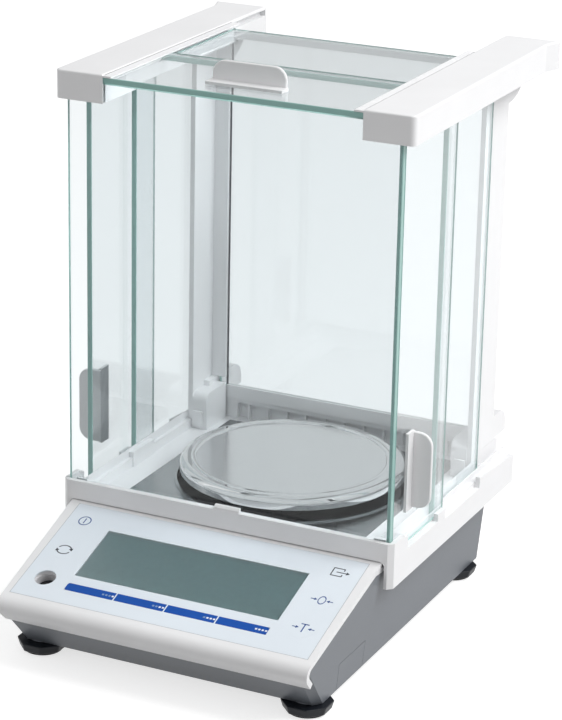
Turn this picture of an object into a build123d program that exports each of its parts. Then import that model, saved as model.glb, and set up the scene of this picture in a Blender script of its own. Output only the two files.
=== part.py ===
"""Laboratory balance with a glass draft shield on a sloping console case.

Millimetres, +Z up, console facing -Y, origin on the ground under the middle of the overall box.
Distances are measured back from the front face of the shield base and up from its top edge.
"""

import os
from math import atan, cos, degrees, radians, sin

from build123d import *

os.makedirs("parts", exist_ok=True)

# Overall reference sizes
overall_depth = 271.5
rail_reach = 190.0
deck_height = 71.5
shield_front = overall_depth / 2 - rail_reach

# Glass and the stack of tracks, measured out from the middle
glass = 3.0
seat_gap = 0.3
slide_gap = 0.2
pillar_face = 85.3
pane_gap = 0.5
pane_pitch = 4.2
inner_pane = pillar_face + pane_gap
outer_pane = inner_pane + pane_pitch
outer_face = outer_pane + glass
skirt_face = outer_face + 2.7
skirt_wall = 2.5
skirt_inner = skirt_face - skirt_wall
track_wall_top = -5.0
track_floor = -8.3
pane_foot = track_floor + seat_gap

# Shield base
base_front = 0.5
base_length = 169.0
base_rear = base_front + base_length
base_bottom = -24.7
front_wall = 2.6
front_wall_foot = -10.2
corner_bevel = 2.7
arch_half = 91.4
floor_top = -10.4
floor_thickness = 2.0
border_inner = 69.6
well_opening = 65.5
inner_wall = pillar_face - 2.0

# Panes
front_pane_start = 2.8
front_pane_end = front_pane_start + glass
pane_top = 216.5
pane_length = 66.6
right_front_start = front_pane_end + seat_gap
right_rear_start = 65.7
left_front_start = 23.5
left_rear_start = 64.5

# Top rails and top panes
rail_start = 1.4
rail_half = 99.2
rail_inner = 71.8
rail_top = 222.3
rail_bottom = 207.2
rail_plate = 3.0
rail_wall = 2.8
rail_flare = 3.7
flare_start = 179.0
inner_rail_wall = 4.7
slot_depth = 3.2
top_slot_foot = 217.4
top_slot_height = glass + 2 * slide_gap
top_pane_start = 2.5
top_pane_length = 67.5
rear_top_start = 67.0
rear_top_end = 151.0
lip_width = 4.8
lip_thickness = 0.9
lip_length = 145.0
lower_ledge_depth = 1.5

# Pillars, feet of the pillars and beams
pillar_plate = 2.8
pillar_front = 126.0
pillar_depth = 37.5
flange_front = 150.0
flange_plate = 2.0
flange_inner = 74.0
bracket_height = 11.0
rear_foot_front = 140.0
rear_foot_end = 182.0
rear_foot_top = 14.0
rear_glass_start = flange_front + flange_plate + slide_gap
rear_glass_half = 78.5
low_beam_top = 8.2
low_beam_depth = 6.0
top_beam_foot = 209.6
top_beam_height = 3.6

# Console case
panel_slope = degrees(atan(22.55 / 72.65))
panel_top_y = -1.95
panel_top_z = -11.55
panel_end_y = 0.6
nose_radius = 6.0
nose_front = overall_depth / 2 - rail_reach
nose_foot_y = -75.3
nose_foot_z = -49.3
case_foot_y = -61.6
case_rear = 148.0
case_half_top = 90.0
case_half_foot = 85.0
case_bottom_height = 6.2
case_wall = 2.5
skin = 3.0
deck_skin = 2.5
deck_top = -14.0
parting = 0.12
corner_strip = 3.5

# Panel sheet, display and keys, on the slope
sheet_half = 84.25
sheet_length = 76.0
sheet_thickness = 0.6
sheet_gap = 0.15
window_half = 58.0
window_top = -16.0
window_foot = -54.0
key_radius = 7.0
key_gap = 0.08
key_travel = 0.3
round_keys = {
    "on_off": (-74.3, -12.5),
    "menu": (-73.4, -37.1),
    "output": (72.5, -10.8),
    "zero": (72.7, -33.3),
    "tare": (72.5, -55.4),
}
strip_left = -58.4
strip_pitch = 28.85
strip_split = 0.8
strip_centre = -63.0
strip_height = 5.5
level_place = (-71.9, -60.2)
level_radius = 5.7
board_depth = 9.0
board_thickness = 1.6

# Weighing pan and what carries it
pan_centre = 83.45
pan_radius = 60.7
disc_radius = 51.5
bead_radius = 54.5
pan_sheet = 1.2
pan_top = 1.6
bead_top = 2.5
skirt_foot = -4.7
well_radius = 61.9
dish_wall = 0.8
support_radius = 55.0
support_top = pan_top - pan_sheet
post_radius = 5.0

# Sensor inside the case
casting_half = 62.0
casting_foot = 12.0
casting_thickness = 7.0
block_length = 92.0
block_width = 28.0
block_height = 24.0
block_lift = 3.0

# Levelling feet
foot_x = 75.9
front_foot_y = -55.4
rear_foot_y = 134.4
dial_radius = 13.8
dial_foot_radius = 11.0
foot_pad_height = 1.2
foot_pad_radius = 10.0
stud_radius = 4.0
stud_gap = 0.05
stud_reach = 13.0
boss_radius = 7.0
boss_height = 10.0

# Door grips
grip_length = 41.0
grip_proud = 11.6
grip_plate = 2.2
grip_strip = 7.8
grip_strip_plate = 1.5
grip_corner = 7.0


def back(distance):
    """Y of a point this far behind the front face of the shield base."""
    return shield_front + distance


def up(height):
    """Z of a point this far above the top edge of the shield base."""
    return deck_height + height


def block(x, y, z, mode=Mode.ADD):
    """Box between two limits on each axis, in shield distances."""
    middle = ((x[0] + x[1]) / 2, back((y[0] + y[1]) / 2), up((z[0] + z[1]) / 2))
    with Locations(middle):
        Box(x[1] - x[0], y[1] - y[0], z[1] - z[0], mode=mode)


def save(builder, name):
    """Labels a finished piece and writes it under its own name."""
    builder.part.label = name
    export_step(builder.part, f"parts/{name}.step")


def save_mirrored(builder, name):
    """Writes the mirror image of a right-hand piece."""
    with BuildPart() as image:
        mirror(builder.part, about=Plane.YZ)
    save(image, name)


# Panel plane: origin at the middle of the sheet's upper edge, y up the slope, z out of the panel
slope = radians(panel_slope)
panel = Plane(
    origin=(0, back(panel_top_y), up(panel_top_z)),
    x_dir=(1, 0, 0),
    z_dir=(0, -sin(slope), cos(slope)),
)
case_foot = case_bottom_height - deck_height


def panel_height(distance):
    """Height of the panel plane at this distance from the shield front."""
    return panel_top_z + (distance - panel_top_y) * sin(slope) / cos(slope)


def console_outline(inset):
    """Side profile of the console between the nose foot and the deck, set in by this much."""
    nose_y = nose_front - shield_front - 81.5 + nose_radius
    start_y = nose_y - nose_radius * sin(slope)
    centre_z = panel_height(start_y) - nose_radius * cos(slope)
    radius = nose_radius - inset
    crown = (back(nose_y - radius * sin(slope)), up(centre_z + radius * cos(slope)))
    front = (back(nose_y - radius), up(centre_z))
    turn = radians(224.5)
    tail = (back(nose_y + radius * cos(turn)), up(centre_z + radius * sin(turn)))
    foot = (back(nose_foot_y + inset * 0.7), up(nose_foot_z + inset * 0.7))
    end_height = panel_height(panel_end_y) - inset / cos(slope)
    end = (back(panel_end_y), up(end_height))
    return crown, front, tail, foot, end


# White upper case: rounded nose, sloping panel and the deck under the shield
with BuildPart() as upper_case:
    with BuildSketch(Plane.YZ) as side:
        with BuildLine():
            crown, front, tail, foot, end = console_outline(0)
            inner_crown, inner_front, inner_tail, inner_foot, inner_end = console_outline(skin)
            deck_line = up(deck_top)
            rear = back(case_rear)
            knee = (inner_end[0] - 6.0, inner_end[1] - 6.0 * sin(slope) / cos(slope))
            Polyline(foot, tail)
            ThreePointArc(tail, front, crown)
            Polyline(crown, end, (end[0], deck_line), (rear, deck_line), (rear, deck_line - deck_skin))
            Polyline((rear, deck_line - deck_skin), (end[0], deck_line - deck_skin), knee, inner_crown)
            ThreePointArc(inner_crown, inner_front, inner_tail)
            Polyline(inner_tail, inner_foot, foot)
        make_face()
    extrude(amount=case_half_top, both=True)
    taper_rise = panel_height(panel_end_y)
    with BuildSketch(Plane.XZ) as width:
        Polygon(
            (-case_half_top, up(taper_rise)),
            (case_half_top, up(taper_rise)),
            (case_half_foot, up(case_foot)),
            (-case_half_foot, up(case_foot)),
            align=None,
        )
    extrude(amount=overall_depth, both=True, mode=Mode.INTERSECT)
    # Recess for the panel sheet, the display window and the pockets under the keys
    with BuildSketch(panel) as recess:
        with Locations((0, -sheet_length / 2)):
            Rectangle(2 * (sheet_half + sheet_gap), sheet_length + 2 * sheet_gap)
    extrude(amount=-sheet_thickness, mode=Mode.SUBTRACT)
    with BuildSketch(panel) as window:
        with Locations((0, (window_top + window_foot) / 2)):
            Rectangle(2 * window_half, window_top - window_foot)
        with Locations(level_place):
            Circle(level_radius + 0.8)
    extrude(amount=-2 * skin, mode=Mode.SUBTRACT)
    with BuildSketch(panel) as pockets:
        with Locations(*round_keys.values()):
            Circle(key_radius + 2 * key_gap)
        for number in range(4):
            with Locations((strip_left + (number + 0.5) * strip_pitch, strip_centre)):
                Rectangle(strip_pitch - strip_split + 2 * key_gap, strip_height + 2 * key_gap)
    extrude(amount=-sheet_thickness - 2 * key_travel, mode=Mode.SUBTRACT)
    with BuildSketch(panel) as stems:
        with Locations(*round_keys.values()):
            Circle(2.9)
        for number in range(4):
            with Locations((strip_left + (number + 0.5) * strip_pitch, strip_centre)):
                Circle(1.9)
    extrude(amount=-2 * skin, mode=Mode.SUBTRACT)
    # Hole in the deck for the pan post
    with BuildSketch(Plane.XY.offset(up(deck_top))) as post_hole:
        with Locations((0, back(pan_centre))):
            Circle(post_radius + 4.0)
    extrude(amount=-deck_skin, mode=Mode.SUBTRACT)
save(upper_case, "upper_case")

# Grey lower case: slanting front, tapering sides, open top under the upper case
with BuildPart() as case_core:
    with BuildSketch(Plane.YZ) as side:
        with BuildLine():
            crown, front, tail, foot, end = console_outline(skin + parting)
            inner_rear = back(case_rear - case_wall)
            lid = up(deck_top) - deck_skin - parting
            knee = (end[0] - 6.0, end[1] - 6.0 * sin(slope) / cos(slope))
            Polyline(tail, (back(case_foot_y + case_wall), up(case_foot) + case_wall))
            Polyline(
                (back(case_foot_y + case_wall), up(case_foot) + case_wall),
                (inner_rear, up(case_foot) + case_wall),
                (inner_rear, lid),
                (end[0], lid),
                knee,
                crown,
            )
            ThreePointArc(crown, front, tail)
        make_face()
    extrude(amount=case_half_top - case_wall, both=True)
    with BuildSketch(Plane.XZ) as width:
        Polygon(
            (case_wall - case_half_top, up(taper_rise)),
            (case_half_top - case_wall, up(taper_rise)),
            (case_half_foot - case_wall, up(case_foot)),
            (case_wall - case_half_foot, up(case_foot)),
            align=None,
        )
    extrude(amount=overall_depth, both=True, mode=Mode.INTERSECT)

foot_places = {
    "front_right": (foot_x, back(front_foot_y)),
    "front_left": (-foot_x, back(front_foot_y)),
    "rear_right": (foot_x, back(rear_foot_y)),
    "rear_left": (-foot_x, back(rear_foot_y)),
}
cover_front = -41.0
cover_rear = -9.0
cover_top = -50.5
cover_gap = 0.25
inlet_place = (-52.0, 34.0)
inlet_width = 12.0
inlet_height = 11.0
socket_place = (-16.0, 34.0)
socket_width = 31.0
socket_height = 12.5
hook_radius = 13.0

with BuildPart() as lower_case:
    with BuildSketch(Plane.YZ) as side:
        with BuildLine():
            crown, front, tail, foot, end = console_outline(skin + parting)
            lid = up(deck_top) - deck_skin - parting
            knee = (end[0] - 6.0, end[1] - 6.0 * sin(slope) / cos(slope))
            outer_foot = (back(nose_foot_y + parting), up(nose_foot_z - parting))
            Polyline(tail, foot, outer_foot)
            Polyline(
                outer_foot,
                (back(case_foot_y), up(case_foot)),
                (back(case_rear - 0.6), up(case_foot)),
                (back(case_rear), lid),
                (end[0], lid),
                knee,
                crown,
            )
            ThreePointArc(crown, front, tail)
        make_face()
    extrude(amount=case_half_top, both=True)
    with BuildSketch(Plane.XZ) as width:
        Polygon(
            (-case_half_top, up(taper_rise)),
            (case_half_top, up(taper_rise)),
            (case_half_foot, up(case_foot)),
            (-case_half_foot, up(case_foot)),
            align=None,
        )
    extrude(amount=overall_depth, both=True, mode=Mode.INTERSECT)
    slanting = lower_case.edges().filter_by(lambda edge: edge.center().Y < back(case_foot_y))
    corners = slanting.filter_by(lambda edge: up(case_foot) + 3 < edge.center().Z < up(nose_foot_z) - 3)
    chamfer(corners, corner_strip)
    add(case_core.part, mode=Mode.SUBTRACT)
    # Threaded bosses of the levelling feet and the pillars that carry the sensor casting
    with BuildSketch(Plane.XY.offset(case_bottom_height)) as bosses:
        with Locations(*foot_places.values()):
            Circle(boss_radius)
    extrude(amount=case_wall + boss_height)
    with BuildSketch(Plane.XY.offset(case_bottom_height)) as stud_holes:
        with Locations(*foot_places.values()):
            Circle(stud_radius + stud_gap)
    extrude(amount=case_wall + boss_height, mode=Mode.SUBTRACT)
    with BuildSketch(Plane.XY.offset(case_bottom_height)) as seats:
        with Locations((0, back(pan_centre))):
            with GridLocations(2 * casting_half - 16, 2 * casting_half - 16, 2, 2):
                Circle(5.0)
    extrude(amount=casting_foot - case_bottom_height)
    # Side cover cut-out, rear sockets and the hook opening
    block(
        (case_half_foot - 2 * case_wall, case_half_top),
        (cover_front, cover_rear),
        (case_foot - 1.0, cover_top),
        Mode.SUBTRACT,
    )
    with BuildSketch(Plane.XZ.offset(-back(case_rear + 1.0))) as ports:
        with Locations(inlet_place):
            Rectangle(inlet_width, inlet_height)
        with Locations(socket_place):
            Rectangle(socket_width, socket_height)
    extrude(amount=case_wall + 3.0, mode=Mode.SUBTRACT)
    with BuildSketch(Plane.XY.offset(case_bottom_height)) as hook_hole:
        with Locations((0, back(pan_centre))):
            Circle(hook_radius)
    extrude(amount=case_wall, mode=Mode.SUBTRACT)
save(lower_case, "lower_case")

# Snap-in side cover, flush with the tapering side wall
with BuildPart() as side_cover:
    block(
        (case_half_foot - case_wall, case_half_top),
        (cover_front + cover_gap, cover_rear - cover_gap),
        (case_foot, cover_top - cover_gap),
    )
    with BuildSketch(Plane.XZ) as width:
        Polygon(
            (0, up(taper_rise)),
            (case_half_top, up(taper_rise)),
            (case_half_foot, up(case_foot)),
            (0, up(case_foot)),
            align=None,
        )
    extrude(amount=overall_depth, both=True, mode=Mode.INTERSECT)
save(side_cover, "side_cover")

with BuildPart() as hook_cover:
    with BuildSketch(Plane.XY.offset(case_bottom_height)) as disc:
        with Locations((0, back(pan_centre))):
            Circle(hook_radius - 0.2)
            Rectangle(12.0, 2.0, mode=Mode.SUBTRACT)
    extrude(amount=case_wall)
save(hook_cover, "hook_cover")

# Power inlet and serial socket in the rear wall
with BuildPart() as power_inlet:
    with BuildSketch(Plane.XZ.offset(-back(case_rear + 0.4))) as body:
        with Locations(inlet_place):
            Rectangle(inlet_width - 0.4, inlet_height - 0.4)
    extrude(amount=14.0)
    with BuildSketch(Plane.XZ.offset(-back(case_rear + 0.4))) as mouth:
        with Locations(inlet_place):
            Circle(4.0)
            Circle(1.1, mode=Mode.SUBTRACT)
    extrude(amount=9.5, mode=Mode.SUBTRACT)
save(power_inlet, "power_inlet")

with BuildPart() as serial_socket:
    with BuildSketch(Plane.XZ.offset(-back(case_rear + 0.8))) as plate:
        with Locations(socket_place):
            RectangleRounded(socket_width - 0.4, socket_height - 0.4, 1.5)
            with GridLocations(25.0, 1, 2, 1):
                Circle(1.6, mode=Mode.SUBTRACT)
    extrude(amount=6.0)
    with BuildSketch(Plane.XZ.offset(-back(case_rear + 5.5))) as shell:
        with Locations(socket_place):
            Trapezoid(17.0, 8.4, 80, rotation=180)
    extrude(amount=5.0)
    with BuildSketch(Plane.XZ.offset(-back(case_rear + 5.5))) as pins:
        with Locations(socket_place):
            with GridLocations(2.75, 1, 5, 1):
                with Locations((0, 1.4)):
                    Circle(0.5)
            with GridLocations(2.75, 1, 4, 1):
                with Locations((0, -1.4)):
                    Circle(0.5)
    extrude(amount=4.5, mode=Mode.SUBTRACT)
save(serial_socket, "serial_socket")

# Panel sheet with the window, the level hole and one hole for each key
with BuildPart() as panel_sheet:
    with BuildSketch(panel) as sheet:
        with Locations((0, -sheet_length / 2)):
            RectangleRounded(2 * sheet_half, sheet_length, 1.0)
        with Locations((0, (window_top + window_foot) / 2)):
            Rectangle(2 * window_half, window_top - window_foot, mode=Mode.SUBTRACT)
        with Locations(level_place):
            Circle(level_radius, mode=Mode.SUBTRACT)
        with Locations(*round_keys.values()):
            Circle(key_radius + key_gap, mode=Mode.SUBTRACT)
        for number in range(4):
            with Locations((strip_left + (number + 0.5) * strip_pitch, strip_centre)):
                Rectangle(
                    strip_pitch - strip_split + 2 * key_gap,
                    strip_height + 2 * key_gap,
                    mode=Mode.SUBTRACT,
                )
    extrude(amount=-sheet_thickness)
save(panel_sheet, "panel_sheet")

stem_foot = board_depth - board_thickness - 3.0
for name, place in round_keys.items():
    with BuildPart() as key:
        with BuildSketch(panel) as head:
            with Locations(place):
                Circle(key_radius)
        extrude(amount=-sheet_thickness)
        with BuildSketch(panel) as stem:
            with Locations(place):
                Circle(2.5)
        extrude(amount=-stem_foot)
    save(key, f"key_{name}")

for number in range(4):
    place = (strip_left + (number + 0.5) * strip_pitch, strip_centre)
    with BuildPart() as key:
        with BuildSketch(panel) as head:
            with Locations(place):
                bar = Rectangle(strip_pitch - strip_split, strip_height)
            if number in (0, 3):
                ends = bar.vertices().group_by(Axis.X)
                fillet(ends[0] if number == 0 else ends[-1], 1.6)
        extrude(amount=-sheet_thickness)
        with BuildSketch(panel) as stem:
            with Locations(place):
                Circle(1.6)
        extrude(amount=-stem_foot)
    save(key, f"key_f{number + 1}")

# Clear window and the display behind it
with BuildPart() as display_lens:
    with BuildSketch(panel.offset(-0.1)) as lens:
        with Locations((0, (window_top + window_foot) / 2)):
            Rectangle(2 * (window_half - sheet_gap), window_top - window_foot - 2 * sheet_gap)
    extrude(amount=-1.0)
save(display_lens, "display_lens")

with BuildPart() as display_glass:
    with BuildSketch(panel.offset(-1.5)) as cell:
        with Locations((0, (window_top + window_foot) / 2)):
            Rectangle(2 * (window_half - 2 * sheet_gap), window_top - window_foot - 4 * sheet_gap)
    extrude(amount=-2.8)
    with BuildSketch(panel.offset(-4.3)) as carrier:
        with Locations((0, (window_top + window_foot) / 2)):
            Rectangle(2 * window_half + 4, window_top - window_foot + 4)
    extrude(amount=-(board_depth - board_thickness - 4.3))
save(display_glass, "display_glass")

# Key board with its nine switches, level with the panel
switch_height = board_depth - board_thickness - stem_foot - key_travel - 0.05
with BuildPart() as key_board:
    with BuildSketch(panel.offset(board_thickness - board_depth)) as board:
        with Locations((0, -sheet_length / 2)):
            Rectangle(2 * sheet_half - 8, sheet_length - 6)
        with Locations(level_place):
            Circle(9.0, mode=Mode.SUBTRACT)
    extrude(amount=-board_thickness)
    with BuildSketch(panel.offset(board_thickness - board_depth)) as switches:
        with Locations(*round_keys.values()):
            Rectangle(6.0, 6.0)
        for number in range(4):
            with Locations((strip_left + (number + 0.5) * strip_pitch, strip_centre)):
                Rectangle(6.0, 4.0)
    extrude(amount=switch_height * 0.75)
    with BuildSketch(panel.offset(board_thickness - board_depth)) as buttons:
        with Locations(*round_keys.values()):
            Circle(1.7)
        for number in range(4):
            with Locations((strip_left + (number + 0.5) * strip_pitch, strip_centre)):
                Circle(1.5)
    extrude(amount=switch_height)
save(key_board, "key_board")

# Round level: housing under the panel and the domed vial in it
with BuildPart() as level_housing:
    with BuildSketch(panel.offset(-skin)) as cup:
        with Locations(level_place):
            Circle(8.0)
            Circle(level_radius, mode=Mode.SUBTRACT)
    extrude(amount=-board_depth + skin)
    with BuildSketch(panel.offset(-board_depth)) as cup_floor:
        with Locations(level_place):
            Circle(8.0)
    extrude(amount=-1.5)
save(level_housing, "level_housing")

with BuildPart() as level_vial:
    with BuildSketch(panel.offset(-board_depth)) as vial:
        with Locations(level_place):
            Circle(level_radius - 0.1)
    extrude(amount=board_depth - 0.8)
save(level_vial, "level_vial")

# Shield base: skirt, door tracks, glass groove, stops and the frame round the floor
with BuildPart() as shield_base:
    with BuildSketch(Plane.XY.offset(up(base_bottom))) as outline:
        with BuildLine():
            Polyline(
                (-outer_face, back(0)),
                (outer_face, back(0)),
                (skirt_face, back(corner_bevel)),
                (skirt_face, back(base_rear)),
                (-skirt_face, back(base_rear)),
                (-skirt_face, back(corner_bevel)),
                close=True,
            )
        make_face()
    extrude(amount=-base_bottom)
    # Space under the floor, and the arch over the console
    block(
        (-skirt_inner, skirt_inner),
        (front_wall, base_rear - skirt_wall),
        (base_bottom, floor_top - floor_thickness),
        Mode.SUBTRACT,
    )
    with BuildSketch(Plane.XZ.offset(-back(front_wall))) as arch:
        with Locations((0, up(base_bottom))):
            opening = Rectangle(2 * arch_half, front_wall_foot - base_bottom, align=(Align.CENTER, Align.MIN))
        fillet(opening.vertices().group_by(Axis.Y)[-1], 3.0)
    extrude(amount=front_wall + 1.0, mode=Mode.SUBTRACT)
    # Weighing chamber above the floor
    block(
        (-inner_wall, inner_wall),
        (front_pane_end + 2.0, base_rear - skirt_wall),
        (floor_top, 0),
        Mode.SUBTRACT,
    )
    for side in (-1, 1):
        reach = sorted((side * (outer_pane - slide_gap), side * (outer_face + slide_gap)))
        block(reach, (front_pane_end - 0.5, base_rear + 1), (track_floor, 1), Mode.SUBTRACT)
        reach = sorted((side * (inner_pane - slide_gap), side * (inner_pane + glass + slide_gap)))
        block(reach, (front_pane_end + 2.0, base_rear + 1), (track_floor, 1), Mode.SUBTRACT)
        reach = sorted((side * (inner_pane - slide_gap), side * (outer_pane - slide_gap)))
        block(reach, (front_pane_end + 2.0, base_rear + 1), (track_wall_top, 1), Mode.SUBTRACT)
        reach = sorted((side * (inner_wall - 1), side * (pillar_face + slide_gap)))
        block(reach, (front_pane_end + 2.0, base_rear + 1), (track_wall_top, 1), Mode.SUBTRACT)
        reach = sorted((side * (inner_wall - 1), side * (pillar_face + slide_gap)))
        block(reach, (pillar_front - slide_gap, base_rear + 1), (floor_top, 1), Mode.SUBTRACT)
        # Stop block beside the inner track
        reach = sorted((side * (inner_wall - 0.7), side * (pillar_face + slide_gap)))
        block(reach, (56.0, 80.0), (floor_top, -1.8))
    # Groove of the front glass
    block(
        (-outer_face - slide_gap, outer_face + slide_gap),
        (front_pane_start - 0.1, front_pane_end + 0.1),
        (-7.3, 1),
        Mode.SUBTRACT,
    )
    # Inner ridge is lower than the front wall
    block((-inner_wall, inner_wall), (front_pane_end + 0.1, front_pane_end + 2.0), (-1.2, 1), Mode.SUBTRACT)
    # Notches and raised stop in the outer wall of each track
    with BuildSketch(Plane.YZ.offset(outer_face - 0.5)) as notches:
        with BuildLine():
            Polyline(
                (back(16.0), up(1)),
                (back(16.0), up(-2.0)),
                (back(20.0), up(-2.0)),
                (back(20.0), up(-9.0)),
                (back(60.0), up(-9.0)),
                (back(60.0), up(-5.0)),
                (back(70.0), up(-5.0)),
                (back(70.0), up(-11.0)),
                (back(119.0), up(-11.0)),
                (back(119.0), up(-5.0)),
                (back(base_rear + 1), up(-9.0)),
                (back(base_rear + 1), up(1)),
                close=True,
            )
        make_face()
    notch_cut = extrude(amount=10.0, mode=Mode.SUBTRACT)
    mirror(notch_cut, about=Plane.YZ, mode=Mode.SUBTRACT)
    # Floor opening with a ledge for the steel plate
    block(
        (-border_inner, border_inner),
        (front_pane_end + 6.0, flange_front - 2.0),
        (floor_top - 1.2, 0),
        Mode.SUBTRACT,
    )
    block(
        (-well_opening, well_opening),
        (pan_centre - well_opening, pan_centre + well_opening - 3.0),
        (floor_top - floor_thickness, 0),
        Mode.SUBTRACT,
    )
    # Gap round the clip of the front glass
    block((-5.9, 9.4), (-1.0, front_pane_start), (-4.0, 1), Mode.SUBTRACT)
    # Feet of the base on the deck of the case
    for side in (-1, 1):
        reach = sorted((side * inner_wall, side * (inner_wall - 3.0)))
        block(reach, (10.0, 140.0), (deck_top + 0.05, floor_top - floor_thickness))
save(shield_base, "shield_base")

# Clip that holds the front glass in the middle of its groove
with BuildPart() as front_clip:
    with BuildSketch(Plane.YZ.offset(-5.4)) as hook:
        with BuildLine():
            Polyline(
                (back(0.3), up(-4.0)),
                (back(0.3), up(1.2)),
                (back(1.1), up(2.4)),
                (back(2.6), up(2.4)),
                (back(2.6), up(-4.0)),
                close=True,
            )
        make_face()
    extrude(amount=14.3)
save(front_clip, "front_clip")

# Polished floor plate with a rolled rim round the well
with BuildPart() as floor_plate:
    block(
        (-border_inner + slide_gap, border_inner - slide_gap),
        (front_pane_end + 6.0 + slide_gap, flange_front - 2.0 - slide_gap),
        (floor_top - 1.2, floor_top),
    )
    with BuildSketch(Plane.XY.offset(up(floor_top))) as rim:
        with Locations((0, back(pan_centre))):
            Circle(well_radius + 1.8)
    extrude(amount=0.8)
    with BuildSketch(Plane.XY.offset(up(floor_top) + 2)) as well:
        with Locations((0, back(pan_centre))):
            Circle(well_radius + 0.2)
    extrude(amount=-6.0, mode=Mode.SUBTRACT)
save(floor_plate, "floor_plate")

# Black dish in the well with a collar round the pan post
with BuildPart() as well_dish:
    with BuildSketch(Plane.XZ) as half:
        with BuildLine():
            floor_z = up(deck_top)
            Polyline(
                (post_radius + 1.0, floor_z),
                (well_radius, floor_z),
                (well_radius, up(floor_top)),
                (well_radius - dish_wall, up(floor_top)),
                (well_radius - dish_wall, floor_z + dish_wall),
                (post_radius + 2.2, floor_z + dish_wall),
                (post_radius + 2.2, floor_z + 3.0),
                (post_radius + 1.0, floor_z + 3.0),
                close=True,
            )
        make_face()
    revolve(axis=Axis.Z)
well_dish.part = well_dish.part.moved(Location((0, back(pan_centre), 0)))
save(well_dish, "well_dish")

# Brushed weighing pan: disc, polished bead, rounded shoulder and skirt
with BuildPart() as weighing_pan:
    with BuildSketch(Plane.XZ) as half:
        with BuildLine():
            shoulder = 4.0
            Polyline((0, up(pan_top)), (disc_radius, up(pan_top)))
            ThreePointArc(
                (disc_radius, up(pan_top)),
                ((disc_radius + bead_radius) / 2, up(bead_top)),
                (bead_radius, up(pan_top + 0.5)),
            )
            Polyline((bead_radius, up(pan_top + 0.5)), (pan_radius - shoulder, up(pan_top + 0.5)))
            ThreePointArc(
                (pan_radius - shoulder, up(pan_top + 0.5)),
                (pan_radius - shoulder * 0.293, up(pan_top + 0.5 - shoulder * 0.293)),
                (pan_radius, up(pan_top + 0.5 - shoulder)),
            )
            Polyline(
                (pan_radius, up(pan_top + 0.5 - shoulder)),
                (pan_radius, up(skirt_foot)),
                (pan_radius - pan_sheet, up(skirt_foot)),
                (pan_radius - pan_sheet, up(pan_top + 0.5 - shoulder)),
            )
            inner = shoulder - pan_sheet
            ThreePointArc(
                (pan_radius - pan_sheet, up(pan_top + 0.5 - shoulder)),
                (pan_radius - pan_sheet - inner * 0.293, up(pan_top + 0.5 - pan_sheet - inner * 0.293)),
                (pan_radius - shoulder, up(pan_top + 0.5 - pan_sheet)),
            )
            Polyline(
                (pan_radius - shoulder, up(pan_top + 0.5 - pan_sheet)),
                (bead_radius, up(pan_top - pan_sheet)),
                (0, up(pan_top - pan_sheet)),
                (0, up(pan_top)),
            )
        make_face()
    revolve(axis=Axis.Z)
weighing_pan.part = weighing_pan.part.moved(Location((0, back(pan_centre), 0)))
save(weighing_pan, "weighing_pan")

# Four-arm pan support with bent-down arm ends and rubber buttons
with BuildPart() as pan_support:
    with BuildSketch(Plane.XY.offset(up(support_top - 1.4))) as cross:
        with Locations((0, back(pan_centre))):
            Circle(18.0)
            with PolarLocations(support_radius / 2, 4, start_angle=45):
                Rectangle(support_radius, 11.0)
    extrude(amount=-1.6)
    with BuildSketch(Plane.XY.offset(up(support_top - 1.4))) as ends:
        with Locations((0, back(pan_centre))):
            with PolarLocations(support_radius - 0.8, 4, start_angle=45):
                Rectangle(1.6, 11.0)
    extrude(amount=-6.0)
    with BuildSketch(Plane.XY.offset(up(support_top - 0.1))) as buttons:
        with Locations((0, back(pan_centre))):
            with PolarLocations(support_radius - 8.0, 4, start_angle=45):
                Circle(3.5)
    extrude(amount=-1.3)
    with BuildSketch(Plane.XY.offset(up(support_top - 3.0))) as hub:
        with Locations((0, back(pan_centre))):
            Circle(9.0)
    extrude(amount=-3.5)
save(pan_support, "pan_support")

# Sensor: casting, parallel-guide block, fork element and post
block_foot = casting_foot + casting_thickness + block_lift
block_top = block_foot + block_height
post_top = up(support_top - 6.5)
with BuildPart() as sensor_base:
    with BuildSketch(Plane.XY.offset(casting_foot)) as plate:
        with Locations((0, back(pan_centre))):
            RectangleRounded(2 * casting_half, 2 * casting_half, 8.0)
            with GridLocations(2 * casting_half - 34, 2 * casting_half - 34, 2, 2):
                Circle(11.0, mode=Mode.SUBTRACT)
            Circle(hook_radius, mode=Mode.SUBTRACT)
    extrude(amount=casting_thickness)
    with BuildSketch(Plane.XY.offset(casting_foot + casting_thickness)) as seat:
        with Locations((0, back(pan_centre + block_length / 2 - 12.0))):
            Rectangle(block_width, 24.0)
    extrude(amount=block_lift)
save(sensor_base, "sensor_base")

with BuildPart() as guide_block:
    with BuildSketch(Plane.YZ.offset(-block_width / 2)) as frame:
        with Locations((back(pan_centre), block_foot + block_height / 2)):
            Rectangle(block_length, block_height)
            Rectangle(block_length - 44.0, block_height - 7.0, mode=Mode.SUBTRACT)
            with GridLocations(block_length - 44.0, block_height - 7.0, 2, 2):
                Circle(2.4, mode=Mode.SUBTRACT)
    extrude(amount=block_width)
save(guide_block, "guide_block")

with BuildPart() as fork_element:
    with BuildSketch(Plane.YZ.offset(-3.0)) as fork:
        with Locations((back(pan_centre), block_foot + block_height / 2)):
            Rectangle(block_length - 44.0, 10.0)
            Rectangle(block_length - 62.0, 3.0, mode=Mode.SUBTRACT)
            with GridLocations(block_length - 52.0, 8.6, 2, 2):
                Rectangle(3.0, 2.4, mode=Mode.SUBTRACT)
    extrude(amount=6.0)
save(fork_element, "fork_element")

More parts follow.
